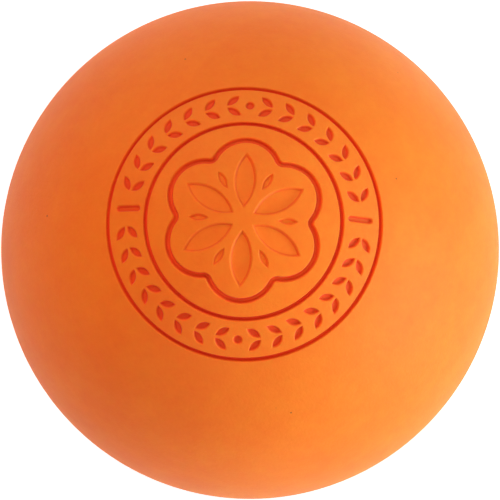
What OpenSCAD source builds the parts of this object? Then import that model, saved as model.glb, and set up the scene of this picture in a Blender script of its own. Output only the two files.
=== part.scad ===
// Solid rubber lacrosse ball, in millimetres.
// A moulded core carries a coloured cover, cured on in two half shells that meet at the parting line.
// The origin is the ball's centre, and +Z runs out through the middle of the round stamp.

/* [Ball] */
// Diameter of the finished ball
ball_d = 63.5; // [50:0.5:100]
// Thickness of the coloured cover over the core
cover_wall = 6; // [2:0.5:10]
// Width of the fine round groove along the parting line
parting_w = 0.3; // [0.1:0.05:0.8]

/* [Stamp rings] */
// Radius of the outer ring groove, from the stamp's axis to the groove's middle
outer_ring_r = 16.45; // [15:0.05:22]
// Radius of the inner ring groove, from the stamp's axis to the groove's middle
inner_ring_r = 11.8; // [11:0.1:13]
// Width of both ring grooves
ring_w = 0.55; // [0.3:0.05:1]
// Depth of both ring grooves
ring_depth = 0.5; // [0.3:0.01:0.8]

/* [Stamp border] */
// Depth of the leaves, berries and bars
border_depth = 0.36; // [0.1:0.01:0.8]
// Length of a leaf, from tip to tip
leaf_len = 2.1; // [1:0.05:2.6]
// Width of a leaf at its middle
leaf_w = 1; // [0.4:0.02:1.2]
// Gap between the two leaves of a pair, along the middle of the border
leaf_gap = 0.3; // [0.1:0.05:0.8]
// Slant of a leaf, away from the line round the border
leaf_slant = 38; // [20:1:60]
// Pairs of leaves from the top berry to a bar
upper_pairs = 7; // [3:1:9]
// Pairs of leaves from the bottom berry to a bar
lower_pairs = 8; // [3:1:9]
// Angle round the stamp kept clear between a berry and its nearest pair
berry_clear = 8; // [6:0.5:14]
// Angle round the stamp kept clear between a bar and its nearest pair
bar_clear = 12; // [8:0.5:20]
// Diameter of a berry
berry_d = 1.2; // [0.6:0.05:2]
// Length of a bar, across the border
bar_len = 3.35; // [1.5:0.05:3.5]
// Width of a bar
bar_w = 0.86; // [0.4:0.02:1.4]
// Distance from the border's middle to a bar's middle, towards the stamp's axis
bar_in = 0.2; // [0:0.05:0.5]
// Angle of the two bars above the stamp's left-to-right line
bar_rise = 4; // [0:0.5:10]
// Angle by which a bar's outer end drops from the line out of the stamp's axis
bar_drop = 4.5; // [0:0.5:12]

/* [Stamp rosette] */
// Number of petals
petals = 6; // [5:1:8]
// Depth of the petals and buds
petal_depth = 0.34; // [0.1:0.01:0.8]
// Distance from the stamp's axis to the near tip of a petal
petal_start = 1.3; // [0.8:0.1:3]
// Length of a petal, from tip to tip
petal_len = 6.9; // [3:0.1:7.5]
// Width of a petal at its middle
petal_w = 2.7; // [1:0.1:3.2]
// Distance from the stamp's axis to the near tip of a bud
bud_start = 4.1; // [3:0.1:4.8]
// Length of a bud, from tip to tip
bud_len = 2.5; // [1:0.1:3]
// Width of a bud at its middle
bud_w = 0.9; // [0.4:0.05:1.2]
// Distance from the stamp's axis to the middle of each lobe of the outline
lobe_place = 5.6; // [4.5:0.1:6]
// Radius of each lobe, to the middle of its line
lobe_r = 4.1; // [3.6:0.1:5]
// Radius that eases the corner between two lobes
corner_r = 0.8; // [0.6:0.1:1.5]
// Width of the outline
outline_w = 0.68; // [0.3:0.02:1]
// Depth of the outline
outline_depth = 0.5; // [0.1:0.01:0.8]

/* [Hidden] */
$fn = 96;
ball_r = ball_d / 2;
core_r = ball_r - cover_wall;
// What every cut runs past the ball's surface
cut_over = ring_w;
// Angles of the two rings down from the stamp's axis, and of the border's middle
outer_tilt = asin(outer_ring_r / ball_r);
inner_tilt = asin(inner_ring_r / ball_r);
border_tilt = (outer_tilt + inner_tilt) / 2;
// Distance of a leaf's middle from the border's middle, as an angle at the ball's centre
leaf_shift = leaf_gap / 2 + leaf_len / 2 * sin(leaf_slant);
leaf_step = atan(leaf_shift / ball_r);
// Where the two berries and the two bars stand, round the stamp
top = 90;
bottom = -90;
right_bar = bar_rise;
left_bar = 180 - bar_rise;
bar_tilt = border_tilt - atan(bar_in / ball_r);
// Where the circle stands that eases a corner: it touches the two lobes beside it
petal_step = 360 / petals;
half_petal = petal_step / 2;
corner_reach = lobe_r + corner_r;
corner_side = lobe_place * sin(half_petal);
// What the easing circles run into the lobes, so that the two cross and don't only touch
corner_lap = 0.02;
corner_place = lobe_place * cos(half_petal) + sqrt(pow(corner_reach, 2) - pow(corner_side, 2));
// How far the ball's surface drops from the stamp's middle to the rosette's edge
rosette_r = lobe_place + lobe_r + outline_w;
rosette_drop = ball_r - sqrt(pow(ball_r, 2) - pow(rosette_r, 2));
rubber_orange = "#F0702C";
core_tan = "#C9AE86";

// A sphere whose own poles lie on the parting plane, clear of the stamp. Its seam faces down or up.
module smooth_sphere(r, seam_down = true) {
    rotate([90, seam_down ? 90 : -90, 0]) sphere(r = r);
}

// The space above the parting plane, or below it
module half_space(above = true) {
    translate([-ball_d, -ball_d, above ? 0 : -2 * ball_d]) cube([2 * ball_d, 2 * ball_d, 2 * ball_d]);
}

// One half of the cover before anything is pressed into it
module half_shell(above = true) {
    intersection() {
        difference() {
            smooth_sphere(ball_r, above);
            smooth_sphere(core_r, above);
        }
        half_space(above);
    }
}

// The fine round groove that the two halves leave where they meet
module parting_groove() {
    rotate_extrude() translate([ball_r, 0]) circle(d = parting_w);
}

// Puts its children on the ball's surface, square to it, tilt down from the stamp's axis and turn round it
module on_surface(tilt, turn) {
    rotate([0, tilt, turn]) translate([0, 0, ball_r]) children();
}

// Keeps what lies within depth of the ball's surface
module pressed(depth) {
    difference() {
        children();
        smooth_sphere(ball_r - depth);
    }
}

// A straight cutter for a recess: the drawing, from well under the surface to above it
module cutter(depth) {
    translate([0, 0, -2 * depth]) linear_extrude(height = 2 * depth + cut_over) children();
}

// A pointed oval along X, the shape that two equal circles share
module pointed_oval(length, width) {
    arc_r = (length * length + width * width) / (4 * width);
    intersection() {
        translate([0, arc_r - width / 2]) circle(r = arc_r);
        translate([0, width / 2 - arc_r]) circle(r = arc_r);
    }
}

// A ring groove with a round bottom, square to the ball's surface
module ring_groove(tilt) {
    rotate_extrude()
        rotate(-tilt) translate([0, ball_r]) {
            translate([0, ring_w / 2 - ring_depth]) circle(d = ring_w);
            translate([-ring_w / 2, ring_w / 2 - ring_depth])
                square([ring_w, ring_depth - ring_w / 2 + cut_over]);
        }
}

// One leaf: side is 1 for the outer row and -1 for the inner row, way is 1 or -1 for where its tip points
module leaf(turn, side, way) {
    on_surface(border_tilt + side * leaf_step, turn)
        rotate(way * (90 - side * leaf_slant)) cutter(border_depth) pointed_oval(leaf_len, leaf_w);
}

// The pairs of leaves on both sides of a berry, up to the bars
module sprigs(middle, half_arc, pairs) {
    pitch = (half_arc - berry_clear - bar_clear) / (pairs - 1);
    for (way = [-1, 1])
        for (i = [0 : pairs - 1])
            for (side = [-1, 1])
                leaf(middle + way * (berry_clear + i * pitch), side, -way);
}

// A short bar with round ends, across the border. way is 1 or -1 for where its outer end drops.
module bar(turn, way) {
    on_surface(bar_tilt, turn) rotate(way * bar_drop) cutter(border_depth) {
        square([bar_len - bar_w, bar_w], center = true);
        for (end = [-1, 1]) translate([end * (bar_len - bar_w) / 2, 0]) circle(d = bar_w);
    }
}

// The wreath between the two rings: four sprigs of leaves, two berries and two bars
module border() {
    pressed(border_depth) {
        sprigs(top, top - right_bar, upper_pairs);
        sprigs(bottom, right_bar - bottom, lower_pairs);
        for (turn = [top, bottom]) on_surface(border_tilt, turn) cutter(border_depth) circle(d = berry_d);
        bar(left_bar, 1);
        bar(right_bar, -1);
    }
}

// The rosette's petals, with a small bud between each two
module petal_ring() {
    for (i = [0 : petals - 1]) {
        rotate(i * petal_step + top)
            translate([petal_start + petal_len / 2, 0]) pointed_oval(petal_len, petal_w);
        rotate((i + 0.5) * petal_step + top)
            translate([bud_start + bud_len / 2, 0]) pointed_oval(bud_len, bud_w);
    }
}

// The star whose points are, in turn, the middles of the lobes and of the circles that ease their corners
module lobe_star() {
    polygon([
        for (i = [0 : 2 * petals - 1])
            let (place = i % 2 == 0 ? lobe_place : corner_place, turn = i * half_petal + top)
                [place * cos(turn), place * sin(turn)]
    ]);
}

// The shape inside the lobed line, with the line moved outwards by grow
module lobed_disc(grow) {
    difference() {
        union() {
            lobe_star();
            for (i = [0 : petals - 1])
                rotate(i * petal_step + top) translate([lobe_place, 0]) circle(r = lobe_r + grow);
        }
        for (i = [0 : petals - 1])
            rotate((i + 0.5) * petal_step + top)
                translate([corner_place, 0]) circle(r = corner_r - grow + corner_lap);
    }
}

// The six-petalled rosette in the middle of the stamp
module rosette() {
    pressed(petal_depth) on_surface(0, 0) cutter(rosette_drop + petal_depth) petal_ring();
    pressed(outline_depth) on_surface(0, 0) cutter(rosette_drop + outline_depth) difference() {
        lobed_disc(outline_w / 2);
        lobed_disc(-outline_w / 2);
    }
}

// Solid core of undyed rubber, moulded first
module core() {
    color(core_tan) smooth_sphere(core_r);
}

// Half of the cover with the stamp
module upper_cover() {
    color(rubber_orange) difference() {
        half_shell(true);
        parting_groove();
        ring_groove(outer_tilt);
        ring_groove(inner_tilt);
        border();
        rosette();
    }
}

// Plain half of the cover
module lower_cover() {
    color(rubber_orange) difference() {
        half_shell(false);
        parting_groove();
    }
}

core();
upper_cover();
lower_cover();
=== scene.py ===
import math

import bpy
from mathutils import Matrix, Vector


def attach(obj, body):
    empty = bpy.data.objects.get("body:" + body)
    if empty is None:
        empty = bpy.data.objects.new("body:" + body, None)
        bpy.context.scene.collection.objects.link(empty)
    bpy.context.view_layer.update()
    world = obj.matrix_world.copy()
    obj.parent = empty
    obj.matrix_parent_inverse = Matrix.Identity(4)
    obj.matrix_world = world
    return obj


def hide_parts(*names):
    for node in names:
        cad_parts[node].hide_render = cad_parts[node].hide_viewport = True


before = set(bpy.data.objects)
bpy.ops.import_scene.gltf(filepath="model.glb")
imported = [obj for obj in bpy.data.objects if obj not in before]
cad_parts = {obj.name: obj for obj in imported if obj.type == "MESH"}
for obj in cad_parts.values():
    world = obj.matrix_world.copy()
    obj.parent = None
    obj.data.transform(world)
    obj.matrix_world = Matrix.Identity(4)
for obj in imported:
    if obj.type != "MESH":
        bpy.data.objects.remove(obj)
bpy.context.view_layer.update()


# The camera. It hangs at arm's length over the ball and looks down on the stamp, a little off its axis.
# The lens is as long as it takes for the ball's outline to fill the picture from edge to edge.
mm = 0.001
ball_r = 31.75 * mm
frame_px = 500
outline_px = 249
sensor_w = 36
camera_distance = 450 * mm
camera_azimuth = math.radians(15.5)
camera_lean = math.radians(6.9)
camera_roll = math.radians(-12.6)
view_near = 10 * mm
view_far = 20

camera_turn = (
    Matrix.Rotation(camera_azimuth, 3, "Z")
    @ Matrix.Rotation(camera_lean, 3, "X")
    @ Matrix.Rotation(camera_roll, 3, "Z")
)
camera_place = camera_turn @ Vector((0, 0, camera_distance))
focal_px = outline_px * math.sqrt(camera_distance**2 - ball_r**2) / ball_r
bpy.ops.object.camera_add(location=camera_place, rotation=camera_turn.to_euler())
camera = bpy.context.object
camera.name = "camera"
camera.data.sensor_width = sensor_w
camera.data.lens = focal_px / frame_px * sensor_w
camera.data.clip_start = view_near
camera.data.clip_end = view_far
bpy.context.scene.camera = camera
bpy.context.scene.view_settings.view_transform = "Standard"


# The table and the studio. A sheet of white paper lies under the ball, with a plain pale room all round.
# A wide softbox stands low on the right with a weaker one above it, both a little cool, like daylight.
# Three more fill in from overhead, the upper left and the bottom, a little warm, like lamps.
paper_w = 800 * mm
paper_white = "F2F1EF"
paper_tooth = 0.6
room_white = "FFFFFF"
daylight = "F0FBFF"
lamplight = "FFC8C4"
room_level = 0.08
# What the paper adds to itself for the camera and reflections alone, to show as white as a page
paper_glow = 0.72
softbox_distance = 1.1
softbox_w = 0.9


def srgb(hex_colour):
    """Turns an sRGB hex colour to the linear one that a shader takes."""
    shares = [int(hex_colour[i : i + 2], 16) / 255 for i in (0, 2, 4)]
    linear = [s / 12.92 if s <= 0.04045 else ((s + 0.055) / 1.055) ** 2.4 for s in shares]
    return (*linear, 1)


def add_node(tree, kind, inputs, **settings):
    """Adds a node with its settings, and fills its inputs with values or with other nodes' outputs."""
    node = tree.nodes.new(kind)
    for name, value in settings.items():
        setattr(node, name, value)
    for name, value in inputs.items():
        if isinstance(value, bpy.types.NodeSocket):
            tree.links.new(value, node.inputs[name])
        else:
            node.inputs[name].default_value = value
    return node


def new_material(name):
    """Makes an empty node material, and gives it with its node tree and its output node."""
    material = bpy.data.materials.new(name)
    material.use_nodes = True
    material.node_tree.nodes.clear()
    return material, material.node_tree, material.node_tree.nodes.new("ShaderNodeOutputMaterial")


bpy.ops.mesh.primitive_plane_add(size=paper_w, location=(0, 0, -ball_r))
paper = bpy.context.object
paper.name = "paper_floor"
# Plain uncoated paper. Loose fibres scatter light evenly, so it shows no gloss, only a soft shadow.
paper_coat, tree, output = new_material("uncoated_paper")
ray = add_node(tree, "ShaderNodeLightPath", {})
seen = add_node(
    tree,
    "ShaderNodeMath",
    {0: ray.outputs["Is Camera Ray"], 1: ray.outputs["Is Glossy Ray"]},
    operation="MAXIMUM",
)
paper_skin = add_node(
    tree, "ShaderNodeBsdfDiffuse", {"Color": srgb(paper_white), "Roughness": paper_tooth}
)
glow_level = add_node(
    tree, "ShaderNodeMath", {0: seen.outputs[0], 1: paper_glow}, operation="MULTIPLY"
)
glow = add_node(
    tree, "ShaderNodeEmission", {"Color": srgb(room_white), "Strength": glow_level.outputs[0]}
)
both = add_node(tree, "ShaderNodeAddShader", {0: paper_skin.outputs[0], 1: glow.outputs[0]})
tree.links.new(both.outputs[0], output.inputs["Surface"])
paper.data.materials.append(paper_coat)

room = bpy.data.worlds.new("pale_room")
bpy.context.scene.world = room
room.use_nodes = True
tree = room.node_tree
tree.nodes.clear()
ray = add_node(tree, "ShaderNodeLightPath", {})
level = add_node(
    tree,
    "ShaderNodeMapRange",
    {"Value": ray.outputs["Is Camera Ray"], "To Min": room_level, "To Max": 1.0},
)
tone = add_node(
    tree,
    "ShaderNodeMix",
    {0: ray.outputs["Is Camera Ray"], 6: srgb(lamplight), 7: srgb(room_white)},
    data_type="RGBA",
)
sky = add_node(tree, "ShaderNodeBackground", {"Color": tone.outputs[2], "Strength": level.outputs[0]})
add_node(tree, "ShaderNodeOutputWorld", {"Surface": sky.outputs[0]})


def add_softbox(name, azimuth, elevation, height, card_level, colour):
    """Adds a softbox that faces the ball. A white card that faces it at the ball shows at card_level."""
    swing = Matrix.Rotation(math.radians(azimuth), 3, "Z")
    turn = swing @ Matrix.Rotation(math.radians(90 - elevation), 3, "X")
    place = turn @ Vector((0, 0, softbox_distance))
    bpy.ops.object.light_add(type="AREA", location=place, rotation=turn.to_euler())
    box = bpy.context.object
    box.name = name
    box.data.shape = "RECTANGLE"
    box.data.size = softbox_w
    box.data.size_y = height
    box.data.energy = card_level * math.pi**2 * softbox_distance**2
    box.data.color = srgb(colour)[:3]
    box.visible_camera = False


add_softbox("softbox_right", azimuth=72, elevation=8, height=0.3, card_level=0.955, colour=daylight)
add_softbox("softbox_upper_right", azimuth=117, elevation=40, height=0.5, card_level=0.275, colour=daylight)
add_softbox("softbox_overhead", azimuth=72, elevation=85, height=0.5, card_level=0.1, colour=lamplight)
add_softbox("softbox_upper_left", azimuth=207, elevation=40, height=0.5, card_level=0.57, colour=lamplight)
add_softbox("softbox_bottom", azimuth=342, elevation=40, height=0.5, card_level=0.45, colour=lamplight)


# The core. A solid ball of undyed gum rubber, pressed in its own mould before the cover goes round it.
# It is buffed with coarse grit so that the cover bonds to it, which leaves it pale, dull and scratchy.
gum_tan = "C9AE86"
gum_dust = "DCC7A4"
grit = 0.6 * mm
scratch_depth = 0.1 * mm

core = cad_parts["core"]
gum_rubber, tree, output = new_material("buffed_gum_rubber")
place = add_node(tree, "ShaderNodeTexCoord", {}).outputs["Object"]
scratches = add_node(tree, "ShaderNodeTexNoise", {"Vector": place, "Scale": 1 / grit, "Detail": 4.0})
dusty = add_node(
    tree,
    "ShaderNodeMix",
    {0: scratches.outputs["Fac"], 6: srgb(gum_tan), 7: srgb(gum_dust)},
    data_type="RGBA",
)
bump = add_node(
    tree,
    "ShaderNodeBump",
    {"Height": scratches.outputs["Fac"], "Strength": 0.5, "Distance": scratch_depth},
)
skin = add_node(
    tree,
    "ShaderNodeBsdfPrincipled",
    {"Base Color": dusty.outputs[2], "Roughness": 0.85, "IOR": 1.52, "Normal": bump.outputs[0]},
)
tree.links.new(skin.outputs[0], output.inputs["Surface"])
core.data.materials.clear()
core.data.materials.append(gum_rubber)


# The lower cover. Half a shell of orange rubber, moulded over the core with plain walls.
# Its edge is rolled in a little where the mould parts, and leaves half of a fine groove there.
# Both halves are turned as flat dishes, in length along the ball and height off it, then wrapped to it.
cover_wall = 6 * mm
turn_steps = 288
waist = ball_r * math.pi / 2
waist_r = 0.15 * mm
outer_pitch = 1.0 * mm
inner_pitch = 3.0 * mm
# Points within the weld gap are one point, and a point within the surface gap lies on the ball
weld_gap = 0.001 * mm
surface_gap = 0.0005 * mm
sharp_edge = math.radians(60)
# The rolled edge, from the ball's surface to the parting plane: back from the waist, and how far sunk
edge_shares = [
    (2.0, 0), (1.5, 0.03), (1.15, 0.12), (0.95, 0.32), (0.75, 0.6), (0.5, 0.84), (0.25, 0.96), (0, 1),
]


def start_mesh(name, points, edges, faces):
    """Starts a piece from points in the flat drawing, and leaves it selected and active."""
    bpy.ops.object.select_all(action="DESELECT")
    mesh = bpy.data.meshes.new(name)
    mesh.from_pydata(points, edges, faces)
    piece = bpy.data.objects.new(name, mesh)
    bpy.context.collection.objects.link(piece)
    piece.select_set(True)
    bpy.context.view_layer.objects.active = piece
    return piece


def turn_profile(name, profile):
    """Turns a profile of (length along the ball, height off it) round the upright axis."""
    points = [(length, 0, height) for length, height in profile]
    piece = start_mesh(name, points, [(i, i + 1) for i in range(len(points) - 1)], [])
    bpy.ops.object.mode_set(mode="EDIT")
    bpy.ops.mesh.select_all(action="SELECT")
    bpy.ops.mesh.spin(steps=turn_steps, angle=2 * math.pi, center=(0, 0, 0), axis=(0, 0, 1))
    bpy.ops.mesh.select_all(action="SELECT")
    bpy.ops.mesh.remove_doubles(threshold=weld_gap)
    bpy.ops.object.mode_set(mode="OBJECT")
    return piece


def steps_between(start, end, pitch):
    """Places from start up to but without end, in equal steps of about one pitch."""
    count = max(1, round(abs(end - start) / pitch))
    return [start + (end - start) * i / count for i in range(count)]


def cover_profile(start):
    """The dish's profile: from start along the outside, over the rolled edge, and back inside."""
    edge_start = waist - edge_shares[0][0] * waist_r
    outside = [(length, 0) for length in steps_between(start, edge_start, outer_pitch)]
    edge = [(waist - back * waist_r, -sink * waist_r) for back, sink in edge_shares]
    inside = [(length, -cover_wall) for length in steps_between(waist, 0, inner_pitch)]
    return outside + edge + inside + [(0, -cover_wall)]


def wrap_to_ball(piece, side):
    """Wraps a flat piece round the ball, side 1 over the top and -1 under it, and smooths it."""
    for vertex in piece.data.vertices:
        length = math.hypot(vertex.co.x, vertex.co.y)
        turn = math.atan2(vertex.co.y, vertex.co.x)
        lean = length / ball_r
        out = ball_r + vertex.co.z
        vertex.co = (
            out * math.sin(lean) * math.cos(turn),
            out * math.sin(lean) * math.sin(turn),
            side * out * math.cos(lean),
        )
    bpy.ops.object.select_all(action="DESELECT")
    piece.select_set(True)
    bpy.context.view_layer.objects.active = piece
    bpy.ops.object.mode_set(mode="EDIT")
    bpy.ops.mesh.select_all(action="SELECT")
    bpy.ops.mesh.remove_doubles(threshold=weld_gap)
    bpy.ops.mesh.normals_make_consistent(inside=False)
    bpy.ops.object.mode_set(mode="OBJECT")
    bpy.ops.object.shade_smooth_by_angle(angle=sharp_edge)
    normals = [
        vertex.co.normalized() if abs(vertex.co.length - ball_r) < surface_gap else Vector((0, 0, 0))
        for vertex in piece.data.vertices
    ]
    piece.data.normals_split_custom_set_from_vertices(normals)


lower = turn_profile("lower_cover_shell", [(0, 0)] + cover_profile(outer_pitch))
wrap_to_ball(lower, -1)
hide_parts("lower_cover")
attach(lower, "root")

# Pigmented natural rubber, cured in a polished mould. It is matte, with a fine grain and a dusty bloom.
# Inside the stamp's recesses the colour is painted darker and redder: painted shade, and painted red light
# bouncing about inside them. A few dark specks of filler show.
# Light sinks a little way in and comes out redder, which softens the edges of the strokes.
rubber_orange = "F58311"
rubber_light = "FA9018"
# Painted shade: the dark red that the recesses are painted towards
shade_red = "E74900"
speck_brown = "7A3A1E"
bleed = (1.0, 0.2, 0.1)
bleed_depth = 0.2 * mm
grain = 0.35 * mm
grain_depth = 0.08 * mm
ripple = 4 * mm
ripple_depth = 0.06 * mm
mottle = 9 * mm
speck_pitch = 6 * mm
speck_r = 0.16 * mm
# A speck is solid out to this share of its radius, and hides this share of the rubber's own colour
speck_solid = 0.5
speck_cover = 0.7
# Roughness in the hollows of the grain and on its crests
hollow_rough = 0.58
crest_rough = 0.7

rubber, tree, output = new_material("moulded_orange_rubber")
place = add_node(tree, "ShaderNodeTexCoord", {}).outputs["Object"]
# How much painted shade each point of the stamp's recesses takes, as marked on the mesh
recess_shade = add_node(tree, "ShaderNodeAttribute", {}, attribute_name="recess_shade").outputs["Fac"]
patches = add_node(
    tree, "ShaderNodeTexNoise", {"Vector": place, "Scale": 1 / mottle, "Detail": 6.0, "Roughness": 0.85}
)
faded = add_node(
    tree,
    "ShaderNodeMapRange",
    {"Value": patches.outputs["Fac"], "From Min": 0.35, "From Max": 0.65, "To Min": 0.0, "To Max": 1.0},
)
body_colour = add_node(
    tree,
    "ShaderNodeMix",
    {0: faded.outputs[0], 6: srgb(rubber_orange), 7: srgb(rubber_light)},
    data_type="RGBA",
)
# Painted shade: the colour in the recesses is mixed towards the dark red
shaded_colour = add_node(
    tree,
    "ShaderNodeMix",
    {0: recess_shade, 6: body_colour.outputs[2], 7: srgb(shade_red)},
    data_type="RGBA",
)
cells = add_node(
    tree, "ShaderNodeTexVoronoi", {"Vector": place, "Scale": 1 / speck_pitch, "Randomness": 1.0}
)
near_speck = add_node(
    tree,
    "ShaderNodeMapRange",
    {
        "Value": cells.outputs["Distance"],
        "From Min": speck_r / speck_pitch,
        "From Max": speck_solid * speck_r / speck_pitch,
        "To Min": 0.0,
        "To Max": speck_cover,
    },
)
speckled = add_node(
    tree,
    "ShaderNodeMix",
    {0: near_speck.outputs[0], 6: shaded_colour.outputs[2], 7: srgb(speck_brown)},
    data_type="RGBA",
)
fine = add_node(
    tree, "ShaderNodeTexNoise", {"Vector": place, "Scale": 1 / grain, "Detail": 3.0, "Roughness": 0.6}
)
waves = add_node(tree, "ShaderNodeTexNoise", {"Vector": place, "Scale": 1 / ripple, "Detail": 2.0})
rippled = add_node(
    tree,
    "ShaderNodeBump",
    {"Height": waves.outputs["Fac"], "Strength": 1.0, "Distance": ripple_depth},
)
grained = add_node(
    tree,
    "ShaderNodeBump",
    {
        "Height": fine.outputs["Fac"],
        "Strength": 0.5,
        "Distance": grain_depth,
        "Normal": rippled.outputs[0],
    },
)
dullness = add_node(
    tree,
    "ShaderNodeMapRange",
    {"Value": fine.outputs["Fac"], "To Min": hollow_rough, "To Max": crest_rough},
)
skin = add_node(
    tree,
    "ShaderNodeBsdfPrincipled",
    {
        "Base Color": speckled.outputs[2],
        "Roughness": dullness.outputs[0],
        "IOR": 1.5,
        "Specular IOR Level": 0.32,
        "Sheen Weight": 0.085,
        "Sheen Roughness": 0.5,
        "Subsurface Weight": 0.5,
        "Subsurface Radius": bleed,
        "Subsurface Scale": bleed_depth,
        "Normal": grained.outputs[0],
    },
)
tree.links.new(skin.outputs[0], output.inputs["Surface"])
lower.data.materials.append(rubber)


# The upper cover. The other half of the shell, with the round stamp that the mould presses into its top.
# The stamp is two ring grooves, a border of leaves between them, and a rosette in a lobed outline.
# Every recess has steep walls with a rounded shoulder, as an engraved mould leaves them.
outer_ring_r = 16.45 * mm
inner_ring_r = 11.8 * mm
ring_w = 0.55 * mm
ring_depth = 0.5 * mm
# The share of a recess's depth over which the painted shade deepens, from the rim down
wall_fade = 0.6
# The share of a recess's depth below which its floor begins
floor_from = 0.97
# A groove's section, from its middle out: across in half widths, and below the surface in depths
groove_shares = [
    (0, 1), (0.35, 0.97), (0.6, 0.86), (0.78, 0.62), (0.9, 0.36), (1.0, 0.14), (1.12, 0.03), (1.3, 0),
]


def along(distance):
    """Length along the ball from the stamp's middle to a point at that distance from its axis."""
    return ball_r * math.asin(distance / ball_r)


def groove_section(width, depth):
    """A groove's whole section from side to side, as (across, height)."""
    half = [(across * width / 2, -sink * depth) for across, sink in groove_shares]
    return [(-across, height) for across, height in reversed(half[1:])] + half


def ring_groove(ring_r):
    """A ring groove's section in the flat drawing, from its inner rim to its outer rim."""
    return [(along(ring_r) + across, height) for across, height in groove_section(ring_w, ring_depth)]


def paint_recess_shade(piece, depth, wall_shade, floor_shade):
    """Marks how much shade is painted at each point of a recess, on its walls and floor, as a darker,
    redder colour.
    """
    marks = piece.data.attributes.new("recess_shade", "FLOAT", "POINT")
    for vertex, mark in zip(piece.data.vertices, marks.data):
        sunk = -vertex.co.z / depth
        mark.value = floor_shade if sunk > floor_from else wall_shade * min(1, sunk / wall_fade)


outer_groove = ring_groove(outer_ring_r)
shell = turn_profile("upper_cover_shell", cover_profile(outer_groove[-1][0]))
outer_ring = turn_profile("outer_ring", outer_groove)
inner_ring = turn_profile("inner_ring", ring_groove(inner_ring_r))
# The ring grooves take the full painted shade
for ring in (outer_ring, inner_ring):
    paint_recess_shade(ring, ring_depth, wall_shade=1, floor_shade=1)
stamp = [shell, outer_ring, inner_ring]

# The rosette's outline, a groove along six round lobes whose corners are eased.
lobes = 6
lobe_place = 5.6 * mm
lobe_r = 4.1 * mm
corner_r = 0.8 * mm
outline_w = 0.68 * mm
outline_depth = 0.5 * mm
lobe_steps = 26
corner_steps = 8


def lobed_line(offset):
    """The lobed line, moved outwards by offset, as points in the flat drawing."""
    half_turn = math.pi / lobes
    reach = lobe_r + corner_r
    side = lobe_place * math.sin(half_turn)
    corner_place = lobe_place * math.cos(half_turn) + math.sqrt(reach**2 - side**2)
    # The direction from a lobe's middle to the middle of the corner beside it
    swing = math.atan2(
        corner_place * math.sin(half_turn), corner_place * math.cos(half_turn) - lobe_place
    )
    corner_swing = swing - half_turn
    points = []
    for i in range(lobes):
        middle = math.pi / 2 + 2 * half_turn * i
        for k in range(lobe_steps):
            angle = middle - swing + 2 * swing * k / lobe_steps
            centre = Vector((math.cos(middle), math.sin(middle))) * lobe_place
            points.append(centre + Vector((math.cos(angle), math.sin(angle))) * (lobe_r + offset))
        for k in range(corner_steps):
            corner = middle + half_turn
            angle = corner + math.pi + corner_swing - 2 * corner_swing * k / corner_steps
            centre = Vector((math.cos(corner), math.sin(corner))) * corner_place
            points.append(centre + Vector((math.cos(angle), math.sin(angle))) * (corner_r - offset))
    return [point * along(point.length) / point.length for point in points]


section = groove_section(outline_w, outline_depth)
lines = [lobed_line(across) for across, height in section]
count = len(lines[0])
points = [(*point, height) for line, (across, height) in zip(lines, section) for point in line]
faces = [
    (i * count + k, i * count + (k + 1) % count, (i + 1) * count + (k + 1) % count, (i + 1) * count + k)
    for i in range(len(lines) - 1)
    for k in range(count)
]
outline = start_mesh("outline", points, [], faces)
# Painted shade on the outline's walls and floor
paint_recess_shade(outline, outline_depth, wall_shade=0.92, floor_shade=0.74)
stamp.append(outline)

# The recesses of the stamp. Each shape is modelled once, at the middle of the drawing, and then copied.
# It starts as a rim that is drawn in and sunk step by step, and its last rim is closed by a flat floor.
rim_steps = 32
# A recess's wall, from its shoulder in: in wall widths from the rim, and below the surface in depths
wall_shares = [
    (-0.3, 0), (-0.1, 0.03), (0.08, 0.13), (0.25, 0.31), (0.43, 0.55), (0.62, 0.78), (0.82, 0.94), (1, 1),
]
# Rims on the floor, as shares of the floor's size
floor_shares = [0.66, 0.33]


def recess(name, length, width, depth, wall_w, pointed):
    """Models one recess at the middle of the drawing: a pointed oval, or a bar with round ends."""
    bpy.ops.object.select_all(action="DESELECT")
    bpy.ops.mesh.primitive_circle_add(vertices=rim_steps, radius=width / 2)
    piece = bpy.context.object
    piece.name = name
    arc_r = (length**2 + width**2) / (4 * width)
    for k, vertex in enumerate(piece.data.vertices):
        angle = 2 * math.pi * (k if pointed else k + 0.5) / rim_steps
        if pointed:
            x = math.cos(angle) * length / 2
            y = math.copysign(math.sqrt(arc_r**2 - x**2) - arc_r + width / 2, math.sin(angle))
        else:
            x = math.cos(angle) * width / 2 + math.copysign((length - width) / 2, math.cos(angle))
            y = math.sin(angle) * width / 2
        vertex.co = (x, y, 0)
    bpy.ops.object.mode_set(mode="EDIT")
    bpy.ops.mesh.select_all(action="SELECT")
    # A wall as wide at a point as along the sides takes up more of the oval's length
    tip_share = 2 * arc_r / length if pointed else 1
    half_l, half_w, sunk = length / 2, width / 2, 0
    rims = [
        (half_l - tip_share * back * wall_w, half_w - back * wall_w, sink) for back, sink in wall_shares
    ]
    rims += [(rims[-1][0] * share, rims[-1][1] * share, 1) for share in floor_shares]
    for step, (rim_l, rim_w, sink) in enumerate(rims):
        if step:
            bpy.ops.mesh.extrude_edges_move()
        bpy.ops.transform.resize(
            value=(rim_l / half_l, rim_w / half_w, 1), center_override=(0, 0, 0)
        )
        bpy.ops.transform.translate(value=(0, 0, -(sink - sunk) * depth))
        half_l, half_w, sunk = rim_l, rim_w, sink
    bpy.ops.mesh.extrude_edges_move()
    bpy.ops.mesh.merge(type="CENTER")
    bpy.ops.object.mode_set(mode="OBJECT")
    return piece


def place_copy(master, distance, turn, slant):
    """Copies a recess to its place in the flat drawing: distance and turn, then its own slant."""
    copy = master.copy()
    copy.data = master.data.copy()
    bpy.context.collection.objects.link(copy)
    copy.data.transform(
        Matrix.Rotation(math.radians(turn), 4, "Z")
        @ Matrix.Translation((distance, 0, 0))
        @ Matrix.Rotation(math.radians(slant), 4, "Z")
    )
    stamp.append(copy)


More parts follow.
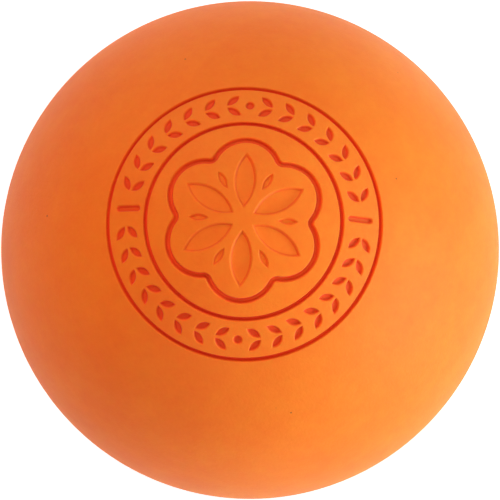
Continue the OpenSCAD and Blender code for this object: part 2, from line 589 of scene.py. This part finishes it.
# The rosette, six petals with a bud between each two.
petal_start = 1.3 * mm
petal_len = 6.9 * mm
petal_w = 2.7 * mm
bud_start = 4.1 * mm
bud_len = 2.5 * mm
bud_w = 0.9 * mm
petal_depth = 0.34 * mm
petal_wall = 0.32 * mm
bud_wall = 0.28 * mm
petal = recess("petal", petal_len, petal_w, petal_depth, petal_wall, pointed=True)
bud = recess("bud", bud_len, bud_w, petal_depth, bud_wall, pointed=True)
# Painted shade on the petals' and buds' walls, and a little on their floors
for master in (petal, bud):
    paint_recess_shade(master, petal_depth, wall_shade=0.5, floor_shade=0.06)
for i in range(lobes):
    place_copy(petal, along(petal_start + petal_len / 2), 90 + 360 / lobes * i, 0)
    place_copy(bud, along(bud_start + bud_len / 2), 90 + 360 / lobes * (i + 0.5), 0)

# The border, four sprigs of paired leaves from the bars to a berry at the top and one at the bottom.
border_depth = 0.36 * mm
border_wall = 0.28 * mm
leaf_len = 2.1 * mm
leaf_w = 1.0 * mm
leaf_gap = 0.3 * mm
leaf_slant = 38
berry_r = 0.6 * mm
berry_clear = 8
bar_clear = 12
bar_len = 3.35 * mm
bar_w = 0.86 * mm
bar_in = 0.2 * mm
bar_rise = 4
bar_drop = 4.5
upper_pairs = 7
lower_pairs = 8
border_middle = (along(outer_ring_r) + along(inner_ring_r)) / 2
leaf_shift = leaf_gap / 2 + leaf_len / 2 * math.sin(math.radians(leaf_slant))
leaf = recess("leaf", leaf_len, leaf_w, border_depth, border_wall, pointed=True)
berry = recess("berry", 2 * berry_r, 2 * berry_r, border_depth, border_wall, pointed=False)
bar = recess("bar", bar_len, bar_w, border_depth, border_wall, pointed=False)
# Painted shade on the walls and floors of the leaves, berries and bars
for master in (leaf, berry):
    paint_recess_shade(master, border_depth, wall_shade=0.95, floor_shade=0.88)
paint_recess_shade(bar, border_depth, wall_shade=0.95, floor_shade=0.7)
for middle, half_arc, pairs in [(90, 90 - bar_rise, upper_pairs), (-90, 90 + bar_rise, lower_pairs)]:
    pitch = (half_arc - berry_clear - bar_clear) / (pairs - 1)
    place_copy(berry, border_middle, middle, 0)
    for way in (-1, 1):
        for i in range(pairs):
            turn = middle + way * (berry_clear + i * pitch)
            for side in (-1, 1):
                slant = -way * (90 - side * leaf_slant)
                place_copy(leaf, border_middle + side * leaf_shift, turn, slant)
for turn, slant in ((bar_rise, -bar_drop), (180 - bar_rise, bar_drop)):
    place_copy(bar, border_middle - bar_in, turn, slant)
for master in (petal, bud, leaf, berry, bar):
    bpy.data.objects.remove(master)

# The flat land between the recesses, filled from rim to rim. Then the whole dish is wrapped to the ball.
longest_edge = 1.2 * mm
split_rounds = 3
land_depth = 0.01 * mm


def select_long_land(piece):
    """Selects the edges that are too long and cross the flat land inside the outer ring."""
    rim = along(outer_ring_r)
    for edge in piece.data.edges:
        ends = [piece.data.vertices[i].co for i in edge.vertices]
        flat = all(abs(end.z) < land_depth and math.hypot(end.x, end.y) < rim for end in ends)
        edge.select = flat and (ends[0] - ends[1]).length > longest_edge


bpy.ops.object.select_all(action="DESELECT")
for part in stamp:
    part.select_set(True)
bpy.context.view_layer.objects.active = shell
bpy.ops.object.join()
bpy.ops.object.mode_set(mode="EDIT")
bpy.ops.mesh.select_all(action="SELECT")
bpy.ops.mesh.remove_doubles(threshold=weld_gap)
bpy.ops.mesh.select_mode(type="EDGE")
bpy.ops.mesh.select_all(action="DESELECT")
bpy.ops.mesh.select_non_manifold(
    use_wire=False,
    use_boundary=True,
    use_multi_face=False,
    use_non_contiguous=False,
    use_verts=False,
)
bpy.ops.mesh.fill(use_beauty=True)
bpy.ops.object.mode_set(mode="OBJECT")
# The fill's long triangles would cut through the ball's roundness, so their edges are split a few times
for _ in range(split_rounds):
    select_long_land(shell)
    bpy.ops.object.mode_set(mode="EDIT")
    bpy.ops.mesh.subdivide(number_cuts=1)
    bpy.ops.mesh.select_all(action="DESELECT")
    bpy.ops.object.mode_set(mode="OBJECT")
wrap_to_ball(shell, 1)
shell.data.materials.clear()
shell.data.materials.append(rubber)
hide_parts("upper_cover")
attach(shell, "root")
